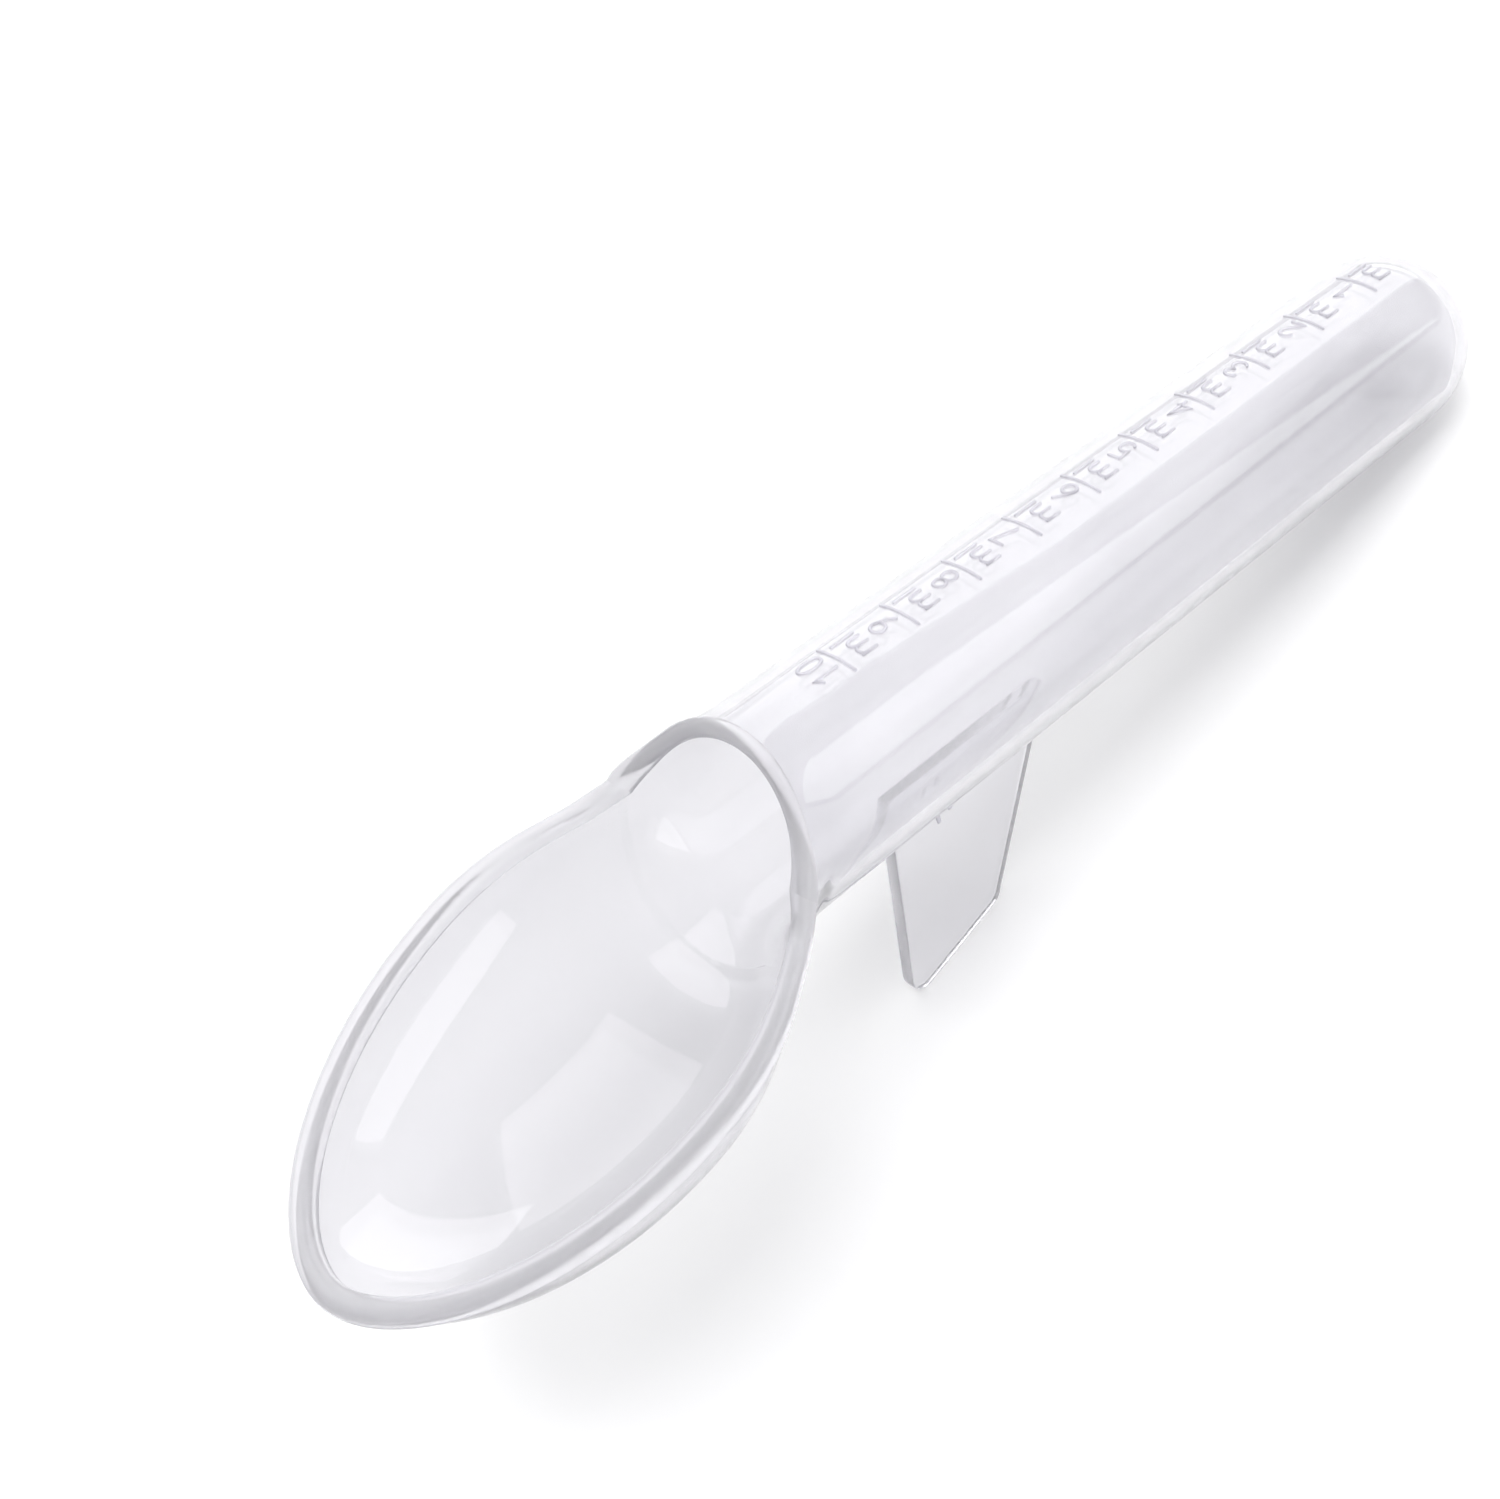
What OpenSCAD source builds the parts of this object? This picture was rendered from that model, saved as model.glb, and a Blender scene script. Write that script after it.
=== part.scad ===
// Clear moulded medicine spoon: a graduated tube handle that opens into a spoon bowl,
// standing on its domed end and a keel so that the bowl's rim is level.
// +X runs from the dome towards the bowl's tip, +Z is up and Z = 0 is the surface it stands on.
// Solids of one moulding meet face to face and never overlap.

/* [Tube] */
// Outer radius where the tube meets its dome
dome_r = 7.6; // [6.5:0.1:9]
// Outer radius at the mouth, larger so that the moulding draws off its core
mouth_r = 8.1; // [7.6:0.1:10]
// Wall thickness of the tube and the bowl
wall = 1.0; // [0.8:0.1:1.3]
// Distance along the axis from the dome's centre to the middle of the oblique mouth
mouth_s = 78; // [75:0.5:84]
// How far back along the axis the top of the mouth leans
mouth_lean = 3.8; // [2:0.2:5]
// Slope of the tube when the spoon stands, in degrees
tilt = 18; // [15:0.5:20]

/* [Bowl] */
// X of the bowl's widest section, measured from the dome's centre
bowl_wide_x = 89.5; // [87:0.5:92]
// X of the tip of the rim
bowl_tip_x = 114.2; // [108:0.2:120]
// Half-width of the bowl's wall at its widest
bowl_half_w = 15.4; // [13:0.2:18]
// Depth of the bowl below its rim, over the outside
bowl_depth = 10; // [8.5:0.25:12]
// Exponent of the outline: 1 is an ellipse and more is a narrower tip
bowl_point = 1.12; // [1:0.02:1.3]

/* [Rim] */
// Width of the bead around the bowl
bead_w = 2.1; // [1.6:0.1:2.6]
// Height of the bead
bead_h = 1.3; // [0.9:0.1:1.8]
// How far the bead stands out past the wall
bead_out = 0.6; // [0.3:0.1:0.8]
// Thickness of the lip over the mouth
lip_t = 1.5; // [1.2:0.1:1.8]

/* [Keel] */
// Thickness of the keel
fin_t = 1.2; // [1:0.1:2]
// Where the keel's back edge leaves the tube, along the axis
fin_root_back = 44.5; // [42:0.5:48]
// Where the keel's front edge leaves the tube, along the axis
fin_root_front = 62.3; // [58:0.5:64]
// Length of the keel's foot
fin_foot = 11; // [9:0.5:13]
// Radius of the keel's lower corners
fin_corner_r = 1.6; // [1:0.1:2.5]

/* [Scale] */
// Height of the numerals and letters
text_h = 2.4; // [2:0.1:2.6]
// Width of the strokes
stroke_w = 0.36; // [0.3:0.02:0.45]
// How far the marks stand proud
mark_h = 0.2; // [0.15:0.05:0.3]
// Length of each graduation line
tick_l = 4; // [3:0.2:5]

/* [Hidden] */
$fn = 96;
clear_tint = [0.86, 0.87, 0.92, 0.55];
mark_tint = [0.78, 0.79, 0.86, 0.8];
far = 200;
// Rings along the bowl, and facets across one ring
steps = 26;
arcs = 24;
// Below 1 a section is squarer than an ellipse
squareness = 0.6;
// From the last graduation to the start of the mouth's solid
last_mark_gap = 2.4;
// How far the bowl's deepest section lies ahead of its widest
deep_ahead = 2;
// Two strokes on the keel: place behind the front edge and below the tube, spacing, size and lean
keel_mark_back = 6.5;
keel_mark_below = 3.9;
keel_mark_step = [1.3, 0, -0.5];
keel_mark_size = [0.4, 2];
keel_mark_lean = 12;

// Radii along the axis
draft = (mouth_r - dome_r) / mouth_s;
function tube_r(s) = dome_r + draft * s;
function bore_r(s) = tube_r(s) - wall;

// A millilitre is 1000 cubic millimetres: the dome's bore holds the first part, and the tapered bore the rest
millilitre = 1000;
dome_volume = 2 / 3 * PI * pow(bore_r(0), 3);
function mark_s(k) =
    (pow(pow(bore_r(0), 3) + 3 * draft * (k * millilitre - dome_volume) / PI, 1 / 3) - bore_r(0)) / draft;
barrel_mid = (mark_s(5) + mark_s(6)) / 2;
barrel_end = mark_s(10) + last_mark_gap;

// From the tube's axis frame to the standing frame, with the origin under the middle of the whole spoon
rim_z = mouth_s * sin(tilt) + dome_r;
shift_x = -(bowl_tip_x + bead_out - dome_r) / 2;
function stand_x(s, v) = s * cos(tilt) - v * sin(tilt);
function stand_z(s, v) = s * sin(tilt) + v * cos(tilt) + dome_r;

// Bowl outline: the wall leaves the mouth at the tube's own width
back_x = stand_x(mouth_s, 0);
back_half = bowl_wide_x - back_x;
front_half = bowl_tip_x - bowl_wide_x;
start_sin = pow(mouth_r / bowl_half_w, 1 / bowl_point);
start_angle = asin(start_sin);
back_reach = back_half / cos(start_angle);
function outline_x(t, grow) = bowl_wide_x - (t < 90 ? back_reach : front_half + grow) * cos(t);
function outline_w(t, grow) = (bowl_half_w + grow) * pow(max(sin(t), 0), bowl_point);
function sweep_angle(i) = start_angle + (180 - start_angle) * i / steps;

// Bowl underside: it starts at the bottom of the oblique mouth
low_s = mouth_s + mouth_lean;
mouth_low_x = stand_x(low_s, -mouth_r);
mouth_low_drop = rim_z - stand_z(low_s, -mouth_r);
mouth_stretch = norm([mouth_lean, mouth_r]) / mouth_r;
deep_x = bowl_wide_x + deep_ahead;
function lead(i) = pow(1 - i / steps, 2);
function drop(x, grow) =
    x < deep_x
        ? bowl_depth - (bowl_depth - mouth_low_drop) * pow((deep_x - x) / (deep_x - mouth_low_x), 2)
        : bowl_depth * pow(max(1 - pow((x - deep_x) / (bowl_tip_x + grow - deep_x), 2), 0), squareness);
// One ring of the bowl: half an ellipse from one rim point, under the bowl, to the other
function bowl_ring(i, grow) =
    let (
        t = sweep_angle(i),
        x = outline_x(t, grow),
        w = i == 0 ? mouth_r + grow : outline_w(t, grow),
        low_x = x + (mouth_low_x - back_x) * lead(i),
        out_drop = drop(low_x, grow),
        stretch = 1 + (mouth_stretch - 1) * lead(i),
        grown = out_drop > 0 ? grow * stretch : 0,
        low = [low_x - x, 0, -out_drop] * (1 + grown / max(norm([low_x - x, out_drop]), 1))
    )
    [for (j = [0:arcs]) let (a = -90 + 180 * j / arcs) [x, w * sin(a), rim_z] + low * cos(a)];

/* Frames */
module standing() {
    translate([shift_x, 0, 0])
        children();
}

module on_axis() {
    standing()
        translate([0, 0, dome_r])
            rotate([0, -tilt, 0])
                children();
}

module axis_cone(s0, s1, r0, r1) {
    translate([s0, 0, 0])
        rotate([0, 90, 0])
            cylinder(h = s1 - s0, r1 = r0, r2 = r1);
}

module tube_solid(s0, s1) {
    axis_cone(s0, s1, tube_r(s0), tube_r(s1));
}

module tube_shell(s0, s1) {
    difference() {
        tube_solid(s0, s1);
        axis_cone(s0 - 1, s1 + 1, bore_r(s0 - 1), bore_r(s1 + 1));
    }
}

// Everything past the oblique plane of the mouth
module past_mouth() {
    translate([mouth_s, 0, 0])
        rotate([0, atan2(-mouth_lean, mouth_r), 0])
            translate([0, -far / 2, -far / 2])
                cube([far, far, far]);
}

/* Tube */
module dome_end() {
    color(clear_tint)
        on_axis()
            intersection() {
                difference() {
                    sphere(r = dome_r);
                    sphere(r = dome_r - wall);
                }
                translate([-far, -far / 2, -far / 2])
                    cube([far, far, far]);
            }
}

module barrel_lower() {
    color(clear_tint)
        on_axis()
            tube_shell(0, barrel_mid);
}

module barrel_upper() {
    color(clear_tint)
        on_axis()
            tube_shell(barrel_mid, barrel_end);
}

module mouth_hood() {
    color(clear_tint)
        on_axis()
            difference() {
                tube_shell(barrel_end, mouth_s + 2 * mouth_r);
                past_mouth();
            }
}

// Half-round lip along the upper edge of the mouth, from one side of the rim over the top to the other
module mouth_lip() {
    color(clear_tint)
        on_axis()
            translate([mouth_s, 0, 0])
                rotate([0, atan2(-mouth_lean, mouth_r), 0])
                    sweep_open([for (j = [0:arcs]) lip_ring(180 * j / arcs)]);
}

function lip_ring(a) =
    let (
        mid = mouth_r - wall / 2,
        y = mid * cos(a),
        z = mid * sin(a) * mouth_stretch
    )
    [for (k = [0:6])
        let (b = 180 * k / 6, off = lip_t / 2 * cos(b), rise = lip_t / 2 * sin(b))
        [rise, y + off * cos(a), z + off * sin(a)]];

/* Bowl */
module bowl_shell() {
    outer = [for (i = [0:steps]) bowl_ring(i, 0)];
    inner = [for (i = [0:steps]) bowl_ring(i, -wall)];
    color(clear_tint)
        standing()
            shell_between(outer, inner);
}

// Rounded bead on the level top of the bowl's wall
module rim_bead() {
    rings = [for (i = [0:2 * steps]) bead_ring(i)];
    color(clear_tint)
        standing()
            sweep_open(rings);
}

function bead_point(i, grow) =
    let (
        turn = i <= steps ? 1 : -1,
        t = sweep_angle(i <= steps ? i : 2 * steps - i)
    )
    [outline_x(t, grow), turn * outline_w(t, grow)];
function bead_ring(i) =
    let (
        out = bead_point(i, bead_out),
        in = bead_point(i, bead_out - bead_w),
        mid = (out + in) / 2,
        half = (out - in) / 2
    )
    [for (k = [0:8])
        let (b = 180 * k / 8, p = mid + half * cos(b))
        [p.x, p.y, rim_z + bead_h * pow(sin(b), squareness)]];

/* Keel */
module stand_fin() {
    color(clear_tint)
        difference() {
            standing()
                translate([0, fin_t / 2, 0])
                    rotate([90, 0, 0])
                        linear_extrude(height = fin_t)
                            fin_outline();
            on_axis()
                tube_solid(0, mouth_s);
        }
}

// The foot lies along the surface, and the front edge runs square to the tube
module fin_outline() {
    foot_front_v = -(fin_root_front * sin(tilt) + dome_r) / cos(tilt);
    foot_front_x = stand_x(fin_root_front, foot_front_v);
    foot_back_x = foot_front_x - fin_foot;
    root_back = [stand_x(fin_root_back, -dome_r), stand_z(fin_root_back, -dome_r)];
    polygon(concat(
        [[stand_x(fin_root_back, 0), stand_z(fin_root_back, 0)], root_back],
        corner_arc(root_back, [foot_back_x, 0], [foot_front_x, 0]),
        corner_arc([foot_back_x, 0], [foot_front_x, 0], [stand_x(fin_root_front, 0), stand_z(fin_root_front, 0)]),
        [[stand_x(fin_root_front, 0), stand_z(fin_root_front, 0)]]
    ));
}

// Points of a round corner at b, between the sides that come from a and go to c
function corner_arc(a, b, c) =
    let (
        u = (a - b) / norm(a - b),
        v = (c - b) / norm(c - b),
        half = acos(u * v) / 2,
        back = fin_corner_r / tan(half),
        mid = b + (u + v) / norm(u + v) * fin_corner_r / sin(half),
        p0 = b + u * back - mid,
        turn = 180 - 2 * half
    )
    [for (k = [0:6]) let (g = turn * k / 6)
        mid + [p0.x * cos(g) - p0.y * sin(g), p0.x * sin(g) + p0.y * cos(g)]];

// Two small strokes moulded on the keel's side, below the tube
module fin_marks() {
    first_s = fin_root_front - keel_mark_back;
    color(mark_tint)
        on_axis()
            for (k = [0, 1])
                translate([first_s, fin_t / 2, -tube_r(first_s) - keel_mark_below] + k * keel_mark_step)
                    rotate([0, keel_mark_lean, 0])
                        cube([keel_mark_size.x, mark_h, keel_mark_size.y]);
}

/* Graduations */
module graduation(k) {
    s = mark_s(k);
    span = text_h + 1.2;
    color(mark_tint)
        on_axis()
            intersection() {
                difference() {
                    axis_cone(s - span, s + span, tube_r(s - span) + mark_h, tube_r(s + span) + mark_h);
                    axis_cone(s - span - 1, s + span + 1, tube_r(s - span - 1), tube_r(s + span + 1));
                }
                translate([s, 0, dome_r / 2])
                    rotate([0, 0, -90])
                        linear_extrude(height = dome_r)
                            mark_face(k);
            }
}

// Line in the middle, numeral above it and the unit below it
module mark_face(k) {
    gap = 0.55;
    translate([-tick_l / 2, -stroke_w / 2])
        square([tick_l, stroke_w]);
    translate([0, gap])
        numeral(k);
    translate([0, -gap - text_h])
        unit_letters();
}

module numeral(k) {
    glyph_w = 0.58 * text_h;
    pitch = glyph_w + 0.75 * stroke_w + 0.3;
    if (k < 10) {
        translate([-glyph_w / 2, 0])
            digit(k, glyph_w);
    } else {
        translate([-pitch - 0.1, 0])
            digit(1, glyph_w);
        translate([pitch - glyph_w, 0])
            digit(0, glyph_w);
    }
}

// A small m and a small l, built from stems and arches
module unit_letters() {
    body_h = 0.68 * text_h;
    arch_r = 0.2 * text_h;
    left = -2.9 * arch_r;
    for (k = [0:2])
        stroke([[left + 2 * arch_r * k, 0], [left + 2 * arch_r * k, body_h - arch_r + stroke_w / 4]]);
    for (k = [0, 1])
        stroke(arc_points([left + arch_r + 2 * arch_r * k, body_h - arch_r], arch_r, arch_r, 180, 0));
    stroke([[-left - 0.2, 0], [-left - 0.2, text_h]]);
}

function arc_points(c, rx, ry, a0, a1) =
    [for (k = [0:8]) let (a = a0 + (a1 - a0) * k / 8) c + [rx * cos(a), ry * sin(a)]];

// Digits as pen strokes in a box glyph_w wide and text_h high
module digit(n, w) {
    in = stroke_w / 2;
    rx = w / 2 - in;
    mid = w / 2;
    top = text_h - in;
    small_r = (text_h - stroke_w) / 4;
    low_r = small_r * 1.08;
    high_r = (text_h - stroke_w) / 2 - low_r;
    if (n == 0) {
        stroke(arc_points([mid, text_h / 2], rx, text_h / 2 - in, 85, 275));
        stroke(arc_points([mid, text_h / 2], rx, text_h / 2 - in, 95, -95));
    }
    if (n == 1) {
        stroke([[mid + 0.1, 0], [mid + 0.1, text_h]]);
        stroke([[mid + 0.1, text_h - 0.2], [mid - 0.4, text_h - 0.65]]);
    }
    if (n == 2) {
        stroke(concat(arc_points([mid, top - rx], rx, rx, 165, -35), [[in, in]]));
        stroke([[in - 0.05, in], [w, in]]);
    }
    if (n == 3) {
        stroke(arc_points([mid, top - high_r], rx, high_r, 150, -90));
        stroke(arc_points([mid, in + low_r], rx, low_r, 90, -150));
    }
    if (n == 4) {
        stroke([[w * 0.72, 0], [w * 0.72, text_h]]);
        stroke([[w * 0.68, top], [in, text_h * 0.3], [w, text_h * 0.3]]);
    }
    if (n == 5) {
        stroke([[w - in, top], [in + 0.1, top], [in, text_h * 0.52]]);
        stroke(concat([[in, text_h * 0.52]], arc_points([mid, in + low_r * 1.05], rx, low_r * 1.05, 115, -145)));
    }
    if (n == 6) {
        loop_stroke([mid, in + low_r], rx, low_r);
        stroke([[w * 0.72, top], [w * 0.3, text_h * 0.68], [in, in + low_r]]);
    }
    if (n == 7) {
        stroke([[0, top], [w - in, top], [w * 0.35, 0]]);
    }
    if (n == 8) {
        loop_stroke([mid, in + low_r], rx, low_r);
        loop_stroke([mid, top - high_r], rx * 0.88, high_r);
    }
    if (n == 9) {
        loop_stroke([mid, top - low_r], rx, low_r);
        stroke([[w - in, top - low_r], [w * 0.7, text_h * 0.32], [w * 0.28, in]]);
    }
}

module loop_stroke(c, rx, ry) {
    stroke(arc_points(c, rx, ry, 85, 275));
    stroke(arc_points(c, rx, ry, 95, -95));
}

// A pen stroke of even width along a line of points
module stroke(p) {
    last = len(p) - 1;
    side = [for (i = [0:last]) pen_side(p, i, last)];
    polygon(concat(
        [for (i = [0:last]) p[i] + side[i]],
        [for (i = [last:-1:0]) p[i] - side[i]]
    ));
}

function unit_of(v) = v / norm(v);
function pen_side(p, i, last) =
    let (
        before = unit_of(i == 0 ? p[1] - p[0] : p[i] - p[i - 1]),
        after = unit_of(i == last ? p[last] - p[last - 1] : p[i + 1] - p[i]),
        dir = unit_of(before + after)
    )
    [-dir.y, dir.x] * stroke_w / 2 / max(dir * after, 0.5);

/* Meshes that follow a rule */
// Closed solid through a row of open rings, each ring's ends joined by a flat face
module sweep_open(rings) {
    n = len(rings[0]);
    last = len(rings) - 1;
    polyhedron(
        points = [for (r = rings) each r],
        faces = concat(
            [for (i = [0:last - 1]) for (j = [0:n - 1])
                let (a = i * n + j, b = i * n + (j + 1) % n)
                each [[a, b, b + n], [a, b + n, a + n]]],
            [[for (j = [n - 1:-1:0]) j]],
            [[for (j = [0:n - 1]) last * n + j]]
        )
    );
}

// Closed shell between an outer and an inner surface that both run to a point
module shell_between(outer, inner) {
    n = arcs + 1;
    size = (steps + 1) * n;
    flip = function (f) [f[0], f[2], f[1]];
    skin = [for (i = [0:steps - 1]) for (j = [0:arcs - 1])
        let (a = i * n + j, b = a + n)
        each i < steps - 1 ? [[a, a + 1, b + 1], [a, b + 1, b]] : [[a, a + 1, steps * n]]];
    pole = steps * n;
    edge_point = function (i, j) i == steps ? pole : i * n + j;
    top = [for (i = [0:steps - 1])
        let (a = edge_point(i, 0), b = edge_point(i + 1, 0))
        each [[a, b, b + size], [a, b + size, a + size]]];
    other_top = [for (i = [0:steps - 1])
        let (a = edge_point(i, arcs), b = edge_point(i + 1, arcs))
        each [[a, b + size, b], [a, a + size, b + size]]];
    back = [for (j = [0:arcs - 1]) each [[j, j + size + 1, j + 1], [j, j + size, j + size + 1]]];
    polyhedron(
        points = concat([for (r = outer) each r], [for (r = inner) each r]),
        faces = concat(
            skin,
            [for (f = skin) flip([f[0] + size, f[1] + size, f[2] + size])],
            top,
            other_top,
            back
        )
    );
}

dome_end();
barrel_lower();
barrel_upper();
mouth_hood();
mouth_lip();
bowl_shell();
rim_bead();
stand_fin();
fin_marks();
graduation(1);  // graduation_01
graduation(2);  // graduation_02
graduation(3);  // graduation_03
graduation(4);  // graduation_04
graduation(5);  // graduation_05
graduation(6);  // graduation_06
graduation(7);  // graduation_07
graduation(8);  // graduation_08
graduation(9);  // graduation_09
graduation(10);  // graduation_10
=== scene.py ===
"""Clear medicine spoon: a graduated tube handle that opens into a spoon bowl and stands on a keel."""

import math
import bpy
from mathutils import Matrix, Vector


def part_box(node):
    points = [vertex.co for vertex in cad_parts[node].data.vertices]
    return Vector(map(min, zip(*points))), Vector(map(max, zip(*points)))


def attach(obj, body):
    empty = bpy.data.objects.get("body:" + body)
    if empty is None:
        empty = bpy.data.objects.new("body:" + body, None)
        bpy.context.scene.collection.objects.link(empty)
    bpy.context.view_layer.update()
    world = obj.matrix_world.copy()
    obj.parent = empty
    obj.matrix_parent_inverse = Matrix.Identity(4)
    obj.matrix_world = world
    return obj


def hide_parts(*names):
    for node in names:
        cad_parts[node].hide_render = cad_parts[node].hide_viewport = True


bl_info = {
    "name": "Clear medicine spoon",
    "version": (1, 0, 0),
    "blender": (4, 5, 0),
    "location": "3D View > Sidebar > Spoon",
    "description": "Builds a clear moulded medicine spoon piece by piece, with its studio",
    "category": "Object",
}

import bmesh
import bpy
from bpy.props import FloatProperty, FloatVectorProperty, IntProperty, PointerProperty
from bpy.types import Operator, Panel, PropertyGroup
from mathutils import Matrix, Vector

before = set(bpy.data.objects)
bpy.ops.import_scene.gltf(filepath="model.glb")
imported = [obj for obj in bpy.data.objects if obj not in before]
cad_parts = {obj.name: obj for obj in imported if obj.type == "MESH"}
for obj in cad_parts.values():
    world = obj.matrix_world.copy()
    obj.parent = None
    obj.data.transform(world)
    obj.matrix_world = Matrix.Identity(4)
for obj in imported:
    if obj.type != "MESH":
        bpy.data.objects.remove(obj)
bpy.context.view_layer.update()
BODY = "root"
GRADUATIONS = 10
MILLILITRE = 1e-6
# Gap that keeps faces of two pieces from lying in one another
GAP = 0.00001


# ---------------------------------------------------------------- sizes


def length(name, description, default):
    return FloatProperty(name=name, description=description, default=default, unit="LENGTH", precision=5)


def vector(name, description, default):
    return FloatVectorProperty(name=name, description=description, default=default, size=3, subtype="XYZ")


def angle(name, description, degrees):
    return FloatProperty(name=name, description=description, default=math.radians(degrees), subtype="ANGLE")


def number(name, description, default):
    return FloatProperty(name=name, description=description, default=default, precision=4)


def colour(name, description, default):
    return FloatVectorProperty(name=name, description=description, default=default, size=3, subtype="COLOR")


class SpoonTubeSizes(PropertyGroup):
    dome_r: length("Dome radius", "Outer radius where the tube meets its dome", 0.0076)
    mouth_r: length("Mouth radius", "Outer radius of the tube at its mouth", 0.0081)
    wall: length("Wall", "Wall thickness of the tube and the bowl", 0.001)
    mouth_s: length("Mouth distance", "From the dome's centre to the middle of the mouth", 0.078)
    mouth_lean: length("Mouth lean", "How far back the top of the mouth leans", 0.0038)
    flare: length("Flare", "How much wider the mouth is on each side", 0.0007)
    tilt: angle("Tilt", "Slope of the standing tube", 18)
    mark_gap: length("Mark gap", "From the last graduation to where the mouth begins", 0.0024)
    around: IntProperty(name="Around", description="Facets around the tube", default=128)


class SpoonBowlSizes(PropertyGroup):
    wide_x: length("Widest section", "Distance of the widest section from the dome's centre", 0.0895)
    tip_x: length("Tip", "Distance of the rim's tip from the dome's centre", 0.1142)
    half_w: length("Half width", "Half the width of the bowl's wall", 0.0154)
    depth: length("Depth", "Depth of the bowl below its rim", 0.010)
    deep_ahead: length("Deepest section", "How far the deepest section lies ahead of the widest", 0.002)
    toe: number("Toe", "Exponent of the bottom's rise to the tip", 0.6)
    point: number("Point", "Exponent of the outline, more for a narrower tip", 1.12)
    steps: IntProperty(name="Steps", description="Sections along the bowl", default=84)
    arcs: IntProperty(name="Arcs", description="Facets across a section", default=72)


class SpoonBlendSizes(PropertyGroup):
    side_rise: length("Side rise", "How much the corner between mouth and rim is filled", 0.0009)
    side_reach: length("Side reach", "How far that filling runs each way", 0.0042)
    ridge_fall: length("Ridge fall", "How much the ridge between bore and bowl is rounded off", 0.0013)
    ridge_reach: length("Ridge reach", "How far that rounding runs each way", 0.0058)
    ridge_top: number("Ridge top", "Cosine of the turn from the top at which that rounding sets in", 0.7)
    flare_start: number("Flare start", "Share of the mouth's length at which it starts to widen", 0.6)
    flare_end: number("Flare end", "Share of the bowl's length at which that widening has passed", 0.2)
    lip_side: number("Lip side", "How fast the lip takes on the bead's shape down its sides", 2.2)
    lean_steps: number("Lean", "How fast the bead stands upright past the mouth", 12)


class SpoonRimSizes(PropertyGroup):
    bead_w: length("Bead width", "Width of the bead around the bowl", 0.0021)
    bead_h: length("Bead height", "Height of the bead", 0.0013)
    bead_out: length("Bead overhang", "How far the bead stands out past the wall", 0.000595)
    lip_t: length("Lip", "Thickness of the lip over the mouth", 0.0015)
    lip_h: length("Lip height", "How far the lip stands past the mouth's edge", 0.00062)
    square: number("Squareness", "Below 1 the bead's section is squarer than round", 0.6)


class SpoonKeelSizes(PropertyGroup):
    thick: length("Thickness", "Thickness of the keel", 0.0012)
    root_back: length("Back root", "Where the back edge leaves the tube", 0.0445)
    root_front: length("Front root", "Where the front edge leaves the tube", 0.0623)
    foot: length("Foot", "Length of the foot", 0.011)
    corner: length("Corner radius", "Radius of the lower corners", 0.0016)
    edge: length("Edge radius", "Rounding of the free edges", 0.00035)
    flat: number("Flatness", "Below 1 the sides are flatter than round", 0.35)
    stroke_back: length("Stroke place", "First stroke's distance behind the front edge", 0.0065)
    stroke_below: length("Stroke drop", "First stroke's distance below the tube", 0.0039)
    stroke_pitch: length("Stroke pitch", "From one stroke to the next, along the tube", 0.0013)
    stroke_fall: length("Stroke fall", "From one stroke to the next, away from the tube", 0.0005)
    stroke_w: length("Stroke width", "Width of a stroke", 0.0004)
    stroke_h: length("Stroke height", "Height of a stroke", 0.002)
    stroke_lean: angle("Stroke lean", "Lean of a stroke from the square to the tube", 12)


class SpoonScaleSizes(PropertyGroup):
    text_h: length("Text height", "Height of the numerals and letters", 0.0024)
    stroke: length("Stroke", "Width of the strokes", 0.00027)
    relief: length("Relief", "How far the marks stand proud", 0.00016)
    line: length("Line", "Length of each graduation line", 0.004)
    gap: length("Gap", "Gap between the line and the text", 0.00055)


class SpoonPlasticLook(PropertyGroup):
    tint: colour("Tint", "Colour of the clear plastic", (0.80, 0.795, 0.82))
    cloud: colour("Cloud", "Colour of its fainter flow bands", (0.775, 0.77, 0.798))
    thick_tint: colour("Thick tint", "Colour of the plastic in the bead and the lip", (0.785, 0.78, 0.805))
    # Painted light: the tube's tint and cloud are a lighter copy of the bowl's plastic, which brightens the
    # tube and dome; tube and bowl are one plastic
    tube_lightened_tint: colour("Tube tint", "Colour of the plastic in the tube", (0.895, 0.89, 0.913))
    tube_lightened_cloud: colour("Tube cloud", "Colour of the flow bands in the tube", (0.85, 0.845, 0.87))
    # Painted light: a lighter copy of the plastic's tint for the keel, so the keel seen through the tube
    # shows no dark streak
    keel_lightened_tint: colour("Keel tint", "Colour of the plastic in the keel", (0.83, 0.825, 0.848))
    rough: number("Roughness", "Roughness of a polished face", 0.045)
    ior: number("Index", "Index of refraction", 1.44)
    clear: number("Clearness", "Share of the light that passes through a face", 0.85)
    thick_clear: number("Thick clearness", "Share of the light that passes through the face of a bead", 0.62)
    # Painted shade: the marks are the tube's own plastic, and their darker tint stands in for the shade along
    # their relief
    mark_shaded_tint: colour("Mark tint", "Colour of the raised marks", (0.72, 0.71, 0.76))
    mark_clear: number("Mark clearness", "Share of the light that passes through a mark's face", 0.55)
    mark_rough: number("Mark roughness", "Roughness of the marks", 0.2)
    ripple: length("Ripple", "Height of the surface's ripple", 0.000012)
    shade: colour("Shade", "Colour of the light that falls through", (0.54, 0.54, 0.545))


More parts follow.
